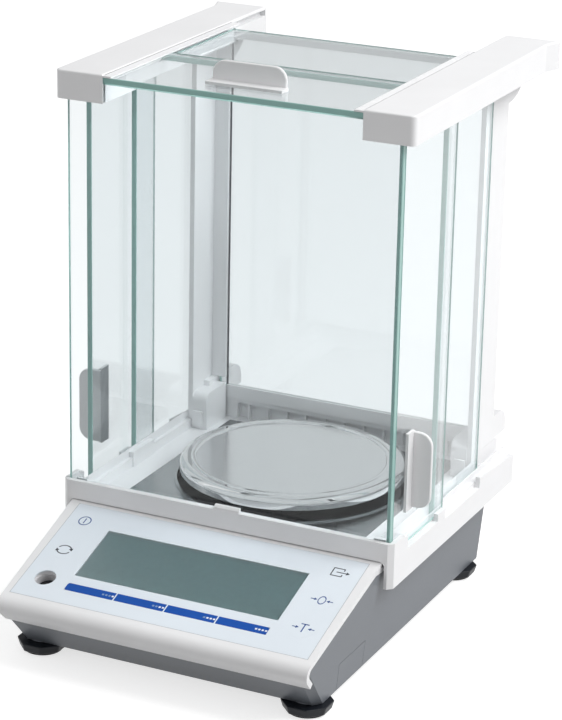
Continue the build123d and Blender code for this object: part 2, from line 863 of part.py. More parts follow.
with BuildPart() as pan_post:
    with BuildSketch(Plane.XY.offset(block_top)) as foot_plate:
        with Locations((0, back(pan_centre - block_length / 2 + 10.0))):
            Rectangle(block_width, 20.0)
    extrude(amount=3.0)
    with BuildSketch(Plane.XY.offset(block_top + 3.0)) as arm:
        with Locations((0, back(pan_centre - block_length / 4 + 3.0))):
            Rectangle(14.0, block_length / 2 + 12.0)
    extrude(amount=3.0)
    with BuildSketch(Plane.XY.offset(block_top + 6.0)) as stem:
        with Locations((0, back(pan_centre))):
            Circle(post_radius)
    extrude(amount=post_top - block_top - 6.0)
save(pan_post, "pan_post")

with BuildPart() as main_board:
    with BuildSketch(Plane.XY.offset(case_bottom_height + case_wall + 4.0)) as board:
        with Locations((0, back(-14.0))):
            Rectangle(120.0, 52.0)
    extrude(amount=board_thickness)
    with BuildSketch(Plane.XY.offset(case_bottom_height + case_wall + 4.0 + board_thickness)) as chips:
        with Locations((0, back(-14.0))):
            with GridLocations(32.0, 24.0, 3, 2):
                Rectangle(14.0, 14.0)
    extrude(amount=2.2)
    with BuildSketch(Plane.XY.offset(case_bottom_height + case_wall)) as spacers:
        with Locations((0, back(-14.0))):
            with GridLocations(110.0, 42.0, 2, 2):
                Circle(3.0)
    extrude(amount=4.0)
save(main_board, "main_board")


def pane(x, y, z, name):
    """Glass plate between two limits on each axis, with ground edges."""
    with BuildPart() as plate:
        block(x, y, z)
        chamfer(plate.edges(), 0.3)
    save(plate, name)


front_glass_foot = -7.0
pane(
    (-outer_face + 0.1, outer_face - 0.1),
    (front_pane_start, front_pane_end),
    (front_glass_foot, top_slot_foot - 0.1),
    "front_glass",
)
pane(
    (outer_pane, outer_face),
    (right_front_start, right_front_start + pane_length),
    (pane_foot, pane_top),
    "pane_right_front",
)
pane(
    (inner_pane, inner_pane + glass),
    (right_rear_start, right_rear_start + pane_length),
    (pane_foot, pane_top),
    "pane_right_rear",
)
pane(
    (-outer_face, -outer_pane),
    (left_front_start, left_front_start + pane_length),
    (pane_foot, pane_top),
    "pane_left_front",
)
pane(
    (-inner_pane - glass, -inner_pane),
    (left_rear_start, left_rear_start + pane_length),
    (pane_foot, pane_top),
    "pane_left_rear",
)
top_pane_foot = top_slot_foot + slide_gap
pane(
    (-rail_inner - slot_depth + 0.4, rail_inner + slot_depth - 0.4),
    (top_pane_start, top_pane_start + top_pane_length),
    (top_pane_foot, top_pane_foot + glass),
    "pane_top_front",
)
rear_top_foot = top_slot_foot - slide_gap - 0.1 - glass
pane(
    (-rail_inner - lower_ledge_depth + 0.3, rail_inner + lower_ledge_depth - 0.3),
    (rear_top_start, rear_top_end),
    (rear_top_foot, rear_top_foot + glass),
    "pane_top_rear",
)
top_beam_top = top_beam_foot + top_beam_height
rear_glass_top = top_beam_top - 1.2
pane(
    (-rear_glass_half, rear_glass_half),
    (rear_glass_start, rear_glass_start + glass),
    (low_beam_top, rear_glass_top),
    "rear_glass",
)


def door_grip(place, name):
    """Grip on a pane: a wing that stands out of the glass and the strip that is bonded to it."""
    with BuildPart() as grip:
        with BuildSketch(place) as wing:
            outline = Rectangle(grip_proud, grip_length, align=(Align.MIN, Align.CENTER))
            fillet(outline.vertices().group_by(Axis.X)[-1], grip_corner)
        extrude(amount=grip_plate / 2, both=True)
        chamfer(grip.faces().sort_by(Axis(place.origin, place.x_dir))[-1].edges(), 0.4)
        with BuildSketch(place) as strip:
            Rectangle(grip_strip_plate, grip_length + 1.6, align=(Align.MIN, Align.CENTER))
        extrude(amount=-grip_strip)
    save(grip, name)


right_grip_y = 26.5
left_grip_y = 35.7
top_grip_y = 23.9
grip_height = 32.2
door_grip(
    Plane(origin=(outer_face, back(right_grip_y), up(grip_height)), x_dir=(1, 0, 0), z_dir=(0, 1, 0)),
    "grip_right",
)
door_grip(
    Plane(origin=(-outer_face, back(left_grip_y), up(grip_height - 1.7)), x_dir=(-1, 0, 0), z_dir=(0, -1, 0)),
    "grip_left",
)
door_grip(
    Plane(origin=(0, back(top_grip_y), up(top_pane_foot + glass)), x_dir=(0, 0, 1), z_dir=(0, 1, 0)),
    "grip_top",
)

# Pillar: outer plate beside the inner track and a flange in front of the rear glass
plate_inner = pillar_face - pillar_plate
with BuildPart() as pillar:
    with BuildSketch(Plane.XY.offset(up(floor_top))) as section:
        with BuildLine():
            Polyline(
                (plate_inner, back(pillar_front)),
                (pillar_face, back(pillar_front)),
                (pillar_face, back(pillar_front + pillar_depth)),
                (plate_inner, back(pillar_front + pillar_depth)),
                (plate_inner, back(flange_front + flange_plate)),
                (flange_inner, back(flange_front + flange_plate)),
                (flange_inner, back(flange_front)),
                (plate_inner, back(flange_front)),
                close=True,
            )
        make_face()
    extrude(amount=rail_top - rail_plate - floor_top)
    block(
        (flange_inner - 1, plate_inner),
        (flange_front - 1, flange_front + flange_plate + 1),
        (rail_bottom - 2.0, rail_top),
        Mode.SUBTRACT,
    )
    block(
        (flange_inner - 1, pillar_face + 1),
        (rear_foot_front, pillar_front + pillar_depth + 1),
        (floor_top - 1, rear_foot_top),
        Mode.SUBTRACT,
    )
    # Gusset between the pillar and the rail
    with BuildSketch(Plane.YZ.offset(plate_inner)) as gusset:
        with BuildLine():
            start = (back(pillar_front + pillar_depth), up(192.0))
            tip = (back(187.0), up(205.0))
            Polyline(tip, (back(187.0), up(rail_top - rail_plate)))
            Polyline(
                (back(187.0), up(rail_top - rail_plate)),
                (back(pillar_front + pillar_depth), up(rail_top - rail_plate)),
                start,
            )
            RadiusArc(start, tip, -26.0)
        make_face()
    extrude(amount=pillar_plate)
save(pillar, "pillar_right")
save_mirrored(pillar, "pillar_left")

# Foot of the pillar: bracket in the corner of the chamber and the block behind the pillar
with BuildPart() as pillar_foot:
    with BuildSketch(Plane.YZ.offset(flange_inner - 0.5)) as bracket:
        with BuildLine():
            low = up(floor_top)
            Polyline(
                (back(pillar_front), low),
                (back(pillar_front - 0.4), up(bracket_height - 5.0)),
            )
            ThreePointArc(
                (back(pillar_front - 0.4), up(bracket_height - 5.0)),
                (back(pillar_front + 1.0), up(bracket_height - 1.5)),
                (back(pillar_front + 4.5), up(bracket_height)),
            )
            Polyline(
                (back(pillar_front + 4.5), up(bracket_height)),
                (back(flange_front), up(bracket_height)),
                (back(flange_front), low),
                (back(pillar_front), low),
            )
        make_face()
    extrude(amount=plate_inner - flange_inner + 0.5)
    # Raised cover on the front of the bracket
    block((flange_inner + 2.0, plate_inner - 0.6), (pillar_front - 1.2, pillar_front + 2.0), (-8.5, 0.4))
    with BuildSketch(Plane.YZ.offset(rear_glass_half + 0.5)) as heel:
        with BuildLine():
            corner = 9.5
            Polyline(
                (back(rear_foot_end - corner), up(rear_foot_top)),
                (back(rear_foot_front), up(rear_foot_top)),
                (back(rear_foot_front), up(floor_top)),
                (back(rear_foot_end), up(floor_top)),
                (back(rear_foot_end), up(rear_foot_top - corner)),
            )
            RadiusArc(
                (back(rear_foot_end), up(rear_foot_top - corner)),
                (back(rear_foot_end - corner), up(rear_foot_top)),
                -corner,
            )
        make_face()
    extrude(amount=pillar_face - rear_glass_half - 0.5)
    block(
        (rear_glass_half, pillar_face + 1),
        (base_rear - skirt_wall - seat_gap, rear_foot_end + 1),
        (floor_top - 1, seat_gap),
        Mode.SUBTRACT,
    )
    for slot_y in (146.0, 156.0):
        block((pillar_face - 1.5, pillar_face + 1), (slot_y - 2.2, slot_y + 2.2), (-8.6, -6.6), Mode.SUBTRACT)
save(pillar_foot, "pillar_foot_right")
save_mirrored(pillar_foot, "pillar_foot_left")

# Beam under the rear glass, with ribs in its front recess
with BuildPart() as rear_beam_low:
    block(
        (-rear_glass_half, rear_glass_half),
        (flange_front + flange_plate, flange_front + flange_plate + low_beam_depth),
        (floor_top, low_beam_top),
    )
    block(
        (-67.0, 67.0),
        (flange_front, flange_front + flange_plate + 3.5),
        (floor_top, -1.0),
        Mode.SUBTRACT,
    )
    with BuildSketch(Plane.XY.offset(up(floor_top))) as ribs:
        with Locations((0, back(flange_front + flange_plate + 2.0))):
            with GridLocations(12.0, 1, 11, 1):
                Rectangle(1.2, 3.4)
    extrude(amount=-1.0 - floor_top)
save(rear_beam_low, "rear_beam_low")

# Beam over the rear glass, between the rails
with BuildPart() as rear_beam_top:
    block(
        (-rail_inner, rail_inner),
        (flange_front, flange_front + 7.0),
        (top_beam_foot, top_beam_top),
    )
    block(
        (-rail_inner - 1, rail_inner + 1),
        (rear_glass_start - 0.1, rear_glass_start + glass + 0.1),
        (top_beam_foot - 1, rear_glass_top + 0.1),
        Mode.SUBTRACT,
    )
save(rear_beam_top, "rear_beam_top")

# Top rail: plate with a flared rear end, slots of the top panes and ribs between the door tracks
with BuildPart() as rail:
    with BuildSketch(Plane.XY.offset(up(rail_bottom))) as outline:
        with BuildLine():
            Polyline(
                (rail_inner, back(rail_start)),
                (rail_half, back(rail_start)),
                (rail_half, back(flare_start)),
                (rail_half + rail_flare, back(rail_reach)),
                (rail_inner, back(rail_reach)),
                close=True,
            )
        face = make_face()
        fillet(face.vertices().sort_by(Axis.X)[2:4].sort_by(Axis.Y)[0], 3.0)
    extrude(amount=rail_top - rail_bottom)
    fillet(rail.faces().sort_by(Axis.Z)[-1].edges(), 1.0)
    hollow_inner = rail_inner + inner_rail_wall
    hollow_outer = rail_half - rail_wall
    ceiling = rail_top - rail_plate
    block(
        (hollow_inner, hollow_outer),
        (front_wall, rail_reach - 1.8),
        (rail_bottom, ceiling),
        Mode.SUBTRACT,
    )
    block(
        (rail_inner - 1, rail_inner + slot_depth),
        (top_pane_start - seat_gap, rail_reach - 1.8),
        (top_slot_foot, top_slot_foot + top_slot_height),
        Mode.SUBTRACT,
    )
    block(
        (rail_inner - 1, rail_inner + lower_ledge_depth),
        (rear_top_start - 7.0, rear_top_end + 0.5),
        (rear_top_foot - 0.1, top_slot_foot),
        Mode.SUBTRACT,
    )
    # Ribs on both sides of each pane
    rib_foot = ceiling - 8.3
    rib_ends = (front_pane_end + 0.5, rail_reach - 1.8)
    block((outer_face + seat_gap, outer_face + seat_gap + 1.2), rib_ends, (rib_foot, ceiling))
    middle = (inner_pane + glass + outer_pane) / 2
    block((middle - 0.35, middle + 0.35), rib_ends, (rib_foot, ceiling))
    block(
        (inner_pane - seat_gap - 1.2, inner_pane - seat_gap),
        (rib_ends[0], pillar_front - 0.4),
        (rib_foot, ceiling),
    )
    # Lip over the edge of the top panes, with three fine grooves
    lip_foot = top_slot_foot + top_slot_height
    block(
        (rail_inner - lip_width, rail_inner + 1),
        (rail_start, rail_start + lip_length),
        (lip_foot, lip_foot + lip_thickness),
    )
    for number in range(3):
        groove = rail_inner - lip_width + 1.0 + number * 1.2
        block(
            (groove, groove + 0.5),
            (rail_start + 2.0, rail_start + lip_length + 1),
            (lip_foot + lip_thickness - 0.3, rail_top),
            Mode.SUBTRACT,
        )
    # Slots of the front glass and of the rear glass
    block(
        (rail_inner - 1, outer_face + slide_gap),
        (front_pane_start - 0.1, front_pane_end + 0.1),
        (rail_bottom - 1, top_slot_foot),
        Mode.SUBTRACT,
    )
    block(
        (rail_inner - 1, rear_glass_half + 0.5),
        (rear_glass_start - 0.1, rear_glass_start + glass + 0.1),
        (rail_bottom - 1, rear_glass_top + 0.1),
        Mode.SUBTRACT,
    )
save(rail, "rail_right")
save_mirrored(rail, "rail_left")

# Levelling feet: scalloped dial with its threaded stud, on a pad that stands on the ground
for name, place in foot_places.items():
    with BuildPart() as dial:
        with BuildSketch(Plane.XY.offset(foot_pad_height)) as foot_circle:
            with Locations(place):
                Circle(dial_foot_radius)
        with BuildSketch(Plane.XY.offset(case_bottom_height - 1.4)) as head_circle:
            with Locations(place):
                Circle(dial_radius)
        loft()
        with BuildSketch(Plane.XY.offset(case_bottom_height - 1.4)) as cap:
            with Locations(place):
                Circle(dial_radius)
        extrude(amount=1.2)
        with BuildSketch(Plane.XY) as scallops:
            with Locations(place):
                with PolarLocations(dial_radius + 4.0, 8):
                    Circle(5.6)
        extrude(amount=case_bottom_height, mode=Mode.SUBTRACT)
        with BuildSketch(Plane.XY.offset(case_bottom_height - 0.2)) as stud:
            with Locations(place):
                Circle(stud_radius)
        extrude(amount=stud_reach)
        with BuildSketch(Plane.XY.offset(foot_pad_height)) as socket:
            with Locations(place):
                Circle(3.05)
        extrude(amount=3.0, mode=Mode.SUBTRACT)
    save(dial, f"dial_{name}")
    with BuildPart() as foot_pad:
        with BuildSketch(Plane.XY) as rubber:
            with Locations(place):
                Circle(foot_pad_radius)
        extrude(amount=foot_pad_height - 0.05)
        with BuildSketch(Plane.XY.offset(foot_pad_height - 0.05)) as pin:
            with Locations(place):
                Circle(3.0)
        extrude(amount=2.8)
    save(foot_pad, f"foot_pad_{name}")

# Pan-head screws that hold the two case halves together from below
with BuildPart() as case_screws:
    with BuildSketch(Plane.XY.offset(case_bottom_height)) as heads:
        with Locations((0, back(36.0))):
            with GridLocations(2 * foot_x, 40.0, 2, 4):
                Circle(3.0)
                Circle(1.0, mode=Mode.SUBTRACT)
    extrude(amount=-1.6)
save(case_screws, "case_screws")
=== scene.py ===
"""Studio scene of a laboratory balance with a glass draft shield.

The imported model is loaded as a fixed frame. Every node gets its finish here, and the printed signs,
the dials, the level, the seals and the other fine trim are modelled on top of it.
"""

import logging
import math
from dataclasses import dataclass
from enum import Enum
from typing import Iterable, Sequence

import bpy
from mathutils import Matrix, Vector


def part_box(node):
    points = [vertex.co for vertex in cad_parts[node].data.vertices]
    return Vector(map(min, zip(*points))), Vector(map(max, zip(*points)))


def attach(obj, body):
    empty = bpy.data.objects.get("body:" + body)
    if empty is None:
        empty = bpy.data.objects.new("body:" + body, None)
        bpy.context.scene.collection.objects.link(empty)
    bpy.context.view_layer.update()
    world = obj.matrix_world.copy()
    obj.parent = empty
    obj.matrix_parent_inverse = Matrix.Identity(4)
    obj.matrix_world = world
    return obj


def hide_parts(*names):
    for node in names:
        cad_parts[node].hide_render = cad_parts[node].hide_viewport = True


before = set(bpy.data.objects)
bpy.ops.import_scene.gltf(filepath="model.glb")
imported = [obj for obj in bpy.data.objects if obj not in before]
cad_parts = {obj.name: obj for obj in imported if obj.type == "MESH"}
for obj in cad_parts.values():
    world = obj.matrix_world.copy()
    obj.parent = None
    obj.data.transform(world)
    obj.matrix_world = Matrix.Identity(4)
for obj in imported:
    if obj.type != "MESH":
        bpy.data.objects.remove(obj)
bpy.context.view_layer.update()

MM = 0.001
LOG = logging.getLogger("balance")
# Middle of each round key, in millimetres across and up the panel sheet
ROUND_KEYS = {
    "on_off": (-74.3, -12.5),
    "menu": (-73.4, -37.1),
    "output": (72.5, -10.8),
    "zero": (72.7, -33.3),
    "tare": (72.5, -55.4),
}
Color = tuple[float, float, float]


class Axis(Enum):
    """The axis across which a glass plate is thin."""

    X = 0
    Y = 1
    Z = 2


class Tree:
    """Small builder round one node material."""

    def __init__(self, name: str) -> None:
        """Starts a material that holds one principled shader.

        Args:
            name: Name of the new material.
        """
        self.material = bpy.data.materials.new(name)
        self.material.use_nodes = True
        self.nodes = self.material.node_tree.nodes
        self.links = self.material.node_tree.links
        self.shader = self.nodes["Principled BSDF"]
        self.output = self.nodes["Material Output"]

    def add(self, kind: str, **settings: object) -> bpy.types.Node:
        """Adds a node and sets plain attributes on it.

        Args:
            kind: Node type.
            **settings: Attributes of the node.

        Returns:
            The new node.
        """
        node = self.nodes.new(kind)
        for key, value in settings.items():
            setattr(node, key, value)
        return node

    def link(self, source: bpy.types.NodeSocket, target: bpy.types.NodeSocket) -> None:
        """Joins two sockets."""
        self.links.new(source, target)

    def place(self) -> bpy.types.NodeSocket:
        """Gives the object coordinates of the surface."""
        return self.add("ShaderNodeTexCoord").outputs["Object"]

    def noise(
        self, scale: float, detail: float = 3.0, stretch: Sequence[float] = (1, 1, 1)
    ) -> bpy.types.NodeSocket:
        """Adds a noise field on object coordinates.

        Args:
            scale: Cells per metre.
            detail: Octaves of the noise.
            stretch: Scale of each axis before the noise.

        Returns:
            The noise value.
        """
        mapping = self.add("ShaderNodeMapping")
        mapping.inputs["Scale"].default_value = stretch
        self.link(self.place(), mapping.inputs["Vector"])
        field = self.add("ShaderNodeTexNoise")
        field.inputs["Scale"].default_value = scale
        field.inputs["Detail"].default_value = detail
        self.link(mapping.outputs["Vector"], field.inputs["Vector"])
        return field.outputs["Fac"]

    def ramp(
        self, value: bpy.types.NodeSocket, stops: Sequence[tuple[float, Color]]
    ) -> bpy.types.NodeSocket:
        """Turns a value into a colour.

        Args:
            value: The value that drives the colour.
            stops: Position and colour of each stop.

        Returns:
            The colour.
        """
        ramp = self.add("ShaderNodeValToRGB")
        elements = ramp.color_ramp.elements
        while len(elements) < len(stops):
            elements.new(0.5)
        for element, (position, color) in zip(elements, stops):
            element.position = position
            element.color = (*color, 1.0)
        self.link(value, ramp.inputs["Fac"])
        return ramp.outputs["Color"]

    def span(self, value: bpy.types.NodeSocket, low: float, high: float) -> bpy.types.NodeSocket:
        """Maps a value from 0..1 to a range.

        Args:
            value: The value.
            low: Result at zero.
            high: Result at one.

        Returns:
            The mapped value.
        """
        node = self.add("ShaderNodeMapRange")
        node.inputs["To Min"].default_value = low
        node.inputs["To Max"].default_value = high
        self.link(value, node.inputs["Value"])
        return node.outputs["Result"]

    def bump(self, height: bpy.types.NodeSocket, depth: float) -> None:
        """Raises the surface by a height field.

        Args:
            height: Field that gives the height.
            depth: Height of the relief in metres.
        """
        node = self.add("ShaderNodeBump")
        node.inputs["Distance"].default_value = depth
        node.inputs["Strength"].default_value = 1.0
        self.link(height, node.inputs["Height"])
        self.link(node.outputs["Normal"], self.shader.inputs["Normal"])

    def set(self, **values: object) -> None:
        """Sets constant values on the principled shader, named with underscores for spaces."""
        for key, value in values.items():
            self.shader.inputs[key.replace("_", " ")].default_value = value


@dataclass(frozen=True)
class Moulding:
    """Moulded plastic with a fine spark-eroded grain."""

    name: str
    color: Color
    shade: float = 0.04
    gloss: float = 0.42
    grain: float = 1.6e-5
    cells: float = 2600.0
    specular: float = 0.5
    clouds: float = 24.0
    spread: float = 0.06

    def build(self) -> bpy.types.Material:
        """Makes the material.

        Returns:
            The material.
        """
        tree = Tree(self.name)
        tree.set(Specular_IOR_Level=self.specular)
        dark = tuple(channel * (1 - self.shade) for channel in self.color)
        mottle = tree.ramp(tree.noise(self.clouds), [(0.3, dark), (0.7, self.color)])
        tree.link(mottle, tree.shader.inputs["Base Color"])
        grain = tree.noise(self.cells, 2.0)
        rough = tree.span(grain, self.gloss - self.spread, self.gloss + self.spread)
        tree.link(rough, tree.shader.inputs["Roughness"])
        tree.bump(grain, self.grain)
        return tree.material


@dataclass(frozen=True)
class PaneGlass:
    """Float glass: clear faces and ground edges that show the green of the glass."""

    name: str
    thin: Axis
    tint: Color = (0.83, 0.86, 0.87)
    edge: Color = (0.33, 0.56, 0.52)
    edge_clear: float = 0.12
    edge_rough: float = 0.3
    ripple: float = 150.0
    spread: float = 0.1
    flat: float = 0.9

    def build(self) -> bpy.types.Material:
        """Makes the material.

        Returns:
            The material.
        """
        tree = Tree(self.name)
        split = tree.add("ShaderNodeSeparateXYZ")
        tree.link(tree.add("ShaderNodeTexCoord").outputs["Normal"], split.inputs["Vector"])
        size = tree.add("ShaderNodeMath", operation="ABSOLUTE")
        tree.link(split.outputs[self.thin.value], size.inputs[0])
        face = tree.add("ShaderNodeMath", operation="GREATER_THAN")
        face.inputs[1].default_value = self.flat
        tree.link(size.outputs["Value"], face.inputs[0])
        mask = face.outputs["Value"]
        color = tree.ramp(mask, [(0.0, self.edge), (1.0, self.tint)])
        tree.link(color, tree.shader.inputs["Base Color"])
        tree.link(tree.span(mask, self.edge_clear, 1.0), tree.shader.inputs["Transmission Weight"])
        ground = tree.noise(self.ripple)
        dull = tree.span(mask, self.edge_rough, 0.0)
        mixed = tree.add("ShaderNodeMath", operation="MULTIPLY")
        tree.link(dull, mixed.inputs[0])
        tree.link(tree.span(ground, 1 - self.spread, 1 + self.spread), mixed.inputs[1])
        tree.link(mixed.outputs["Value"], tree.shader.inputs["Roughness"])
        tree.set(IOR=1.5)
        self.let_light_through(tree, mask)
        return tree.material

    def let_light_through(self, tree: Tree, mask: bpy.types.NodeSocket) -> None:
        """Lets lamp light through the clear faces, so the chamber isn't in its own shade.

        Args:
            tree: The material.
            mask: One on the clear faces.
        """
        clear = tree.add("ShaderNodeBsdfTransparent")
        clear.inputs["Color"].default_value = (*(math.sqrt(channel) for channel in self.tint), 1.0)
        mix = tree.add("ShaderNodeMixShader")
        shadow = tree.add("ShaderNodeMath", operation="MULTIPLY")
        tree.link(tree.add("ShaderNodeLightPath").outputs["Is Shadow Ray"], shadow.inputs[0])
        tree.link(mask, shadow.inputs[1])
        tree.link(shadow.outputs["Value"], mix.inputs["Fac"])
        tree.link(tree.shader.outputs["BSDF"], mix.inputs[1])
        tree.link(clear.outputs["BSDF"], mix.inputs[2])
        tree.link(mix.outputs["Shader"], tree.output.inputs["Surface"])


@dataclass(frozen=True)
class Steel:
    """Brushed or polished sheet metal."""

    name: str
    color: Color = (0.62, 0.62, 0.62)
    low: float = 0.16
    high: float = 0.3
    stretch: tuple[float, float, float] = (1.0, 60.0, 60.0)
    cells: float = 30.0
    depth: float = 4.0e-6

    def build(self) -> bpy.types.Material:
        """Makes the material.

        Returns:
            The material.
        """
        tree = Tree(self.name)
        tree.set(Metallic=1.0, Base_Color=(*self.color, 1.0))
        lines = tree.noise(self.cells, 4.0, self.stretch)
        tree.link(tree.span(lines, self.low, self.high), tree.shader.inputs["Roughness"])
        tree.bump(lines, self.depth)
        return tree.material


@dataclass(frozen=True)
class PanSteel:
    """Turned weighing pan: satin disc, polished bead and bright shoulder, told apart by radius."""

    name: str
    centre: tuple[float, float]
    disc: float
    bead: float
    color: Color = (0.74, 0.745, 0.75)
    satin: float = 0.17
    polished: float = 0.04
    shoulder: float = 0.06
    grooves: float = 9000.0
    groove_depth: float = 4.0e-7
    spread: float = 0.15

    def build(self) -> bpy.types.Material:
        """Makes the material.

        Returns:
            The material.
        """
        tree = Tree(self.name)
        tree.set(Metallic=1.0, Base_Color=(*self.color, 1.0))
        shift = tree.add("ShaderNodeMapping")
        shift.inputs["Location"].default_value = (-self.centre[0], -self.centre[1], 0.0)
        tree.link(tree.place(), shift.inputs["Vector"])
        flat = tree.add("ShaderNodeVectorMath", operation="MULTIPLY")
        flat.inputs[1].default_value = (1.0, 1.0, 0.0)
        tree.link(shift.outputs["Vector"], flat.inputs[0])
        length = tree.add("ShaderNodeVectorMath", operation="LENGTH")
        tree.link(flat.outputs["Vector"], length.inputs[0])
        share = tree.add("ShaderNodeMapRange")
        share.inputs["From Min"].default_value = self.disc - 0.4 * MM
        share.inputs["From Max"].default_value = self.bead + 0.6 * MM
        tree.link(length.outputs["Value"], share.inputs["Value"])
        bead = self.polished
        zones = [(0.0, self.satin), (0.12, bead), (0.88, bead), (1.0, self.shoulder)]
        stops = [(place, (level,) * 3) for place, level in zones]
        polish = tree.ramp(share.outputs["Result"], stops)
        rings = tree.add("ShaderNodeTexNoise")
        rings.inputs["Scale"].default_value = self.grooves
        joined = tree.add("ShaderNodeCombineXYZ")
        tree.link(length.outputs["Value"], joined.inputs["X"])
        tree.link(joined.outputs["Vector"], rings.inputs["Vector"])
        rough = tree.add("ShaderNodeMath", operation="MULTIPLY")
        tree.link(polish, rough.inputs[0])
        scatter = tree.span(rings.outputs["Fac"], 1 - self.spread, 1 + self.spread)
        tree.link(scatter, rough.inputs[1])
        tree.link(rough.outputs["Value"], tree.shader.inputs["Roughness"])
        tree.bump(rings.outputs["Fac"], self.groove_depth)
        return tree.material


@dataclass(frozen=True)
class Plain:
    """Simple finish for small pieces, with a faint mottle in its colour."""

    name: str
    color: Color
    gloss: float = 0.35
    metal: float = 0.0
    clear: float = 0.0
    cells: float = 300.0
    shade: float = 0.06
    spread: float = 0.15

    def build(self) -> bpy.types.Material:
        """Makes the material.

        Returns:
            The material.
        """
        tree = Tree(self.name)
        tree.set(Metallic=self.metal, Transmission_Weight=self.clear)
        dark = tuple(channel * (1 - self.shade) for channel in self.color)
        field = tree.noise(self.cells)
        mottle = tree.ramp(field, [(0.35, dark), (0.65, self.color)])
        tree.link(mottle, tree.shader.inputs["Base Color"])
        rough = tree.span(field, self.gloss * (1 - self.spread), self.gloss * (1 + self.spread))
        tree.link(rough, tree.shader.inputs["Roughness"])
        return tree.material


@dataclass(frozen=True)
class Panel:
    """Plane of the printed panel sheet, in millimetres down and across the slope."""

    origin: Vector
    slope: float

    @classmethod
    def read(cls, thickness: float = 0.6 * MM, rise: float = 22.55, run: float = 72.65) -> "Panel":
        """Finds the plane from the box of the panel sheet.

        Args:
            thickness: Thickness of the sheet.
            rise: Rise of the slope over its run.
            run: Run of the slope.

        Returns:
            The plane, with its origin at the middle of the sheet's upper edge.
        """
        slope = math.atan2(rise, run)
        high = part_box("panel_sheet")[1]
        return cls(Vector((0.0, high[1] - thickness * math.sin(slope), high[2])), slope)

    def matrix(self, x: float, y: float, height: float = 0.0) -> Matrix:
        """Transform of a sign whose middle is at this place on the sheet.

        Args:
            x: Millimetres to the right of the middle.
            y: Millimetres up the slope from the upper edge, so below it is negative.
            height: Millimetres above the sheet.

        Returns:
            The transform into the row frame.
        """
        turn = Matrix.Rotation(self.slope, 4, "X")
        place = Matrix.Translation((x * MM, y * MM, height * MM))
        return Matrix.Translation(self.origin) @ turn @ place


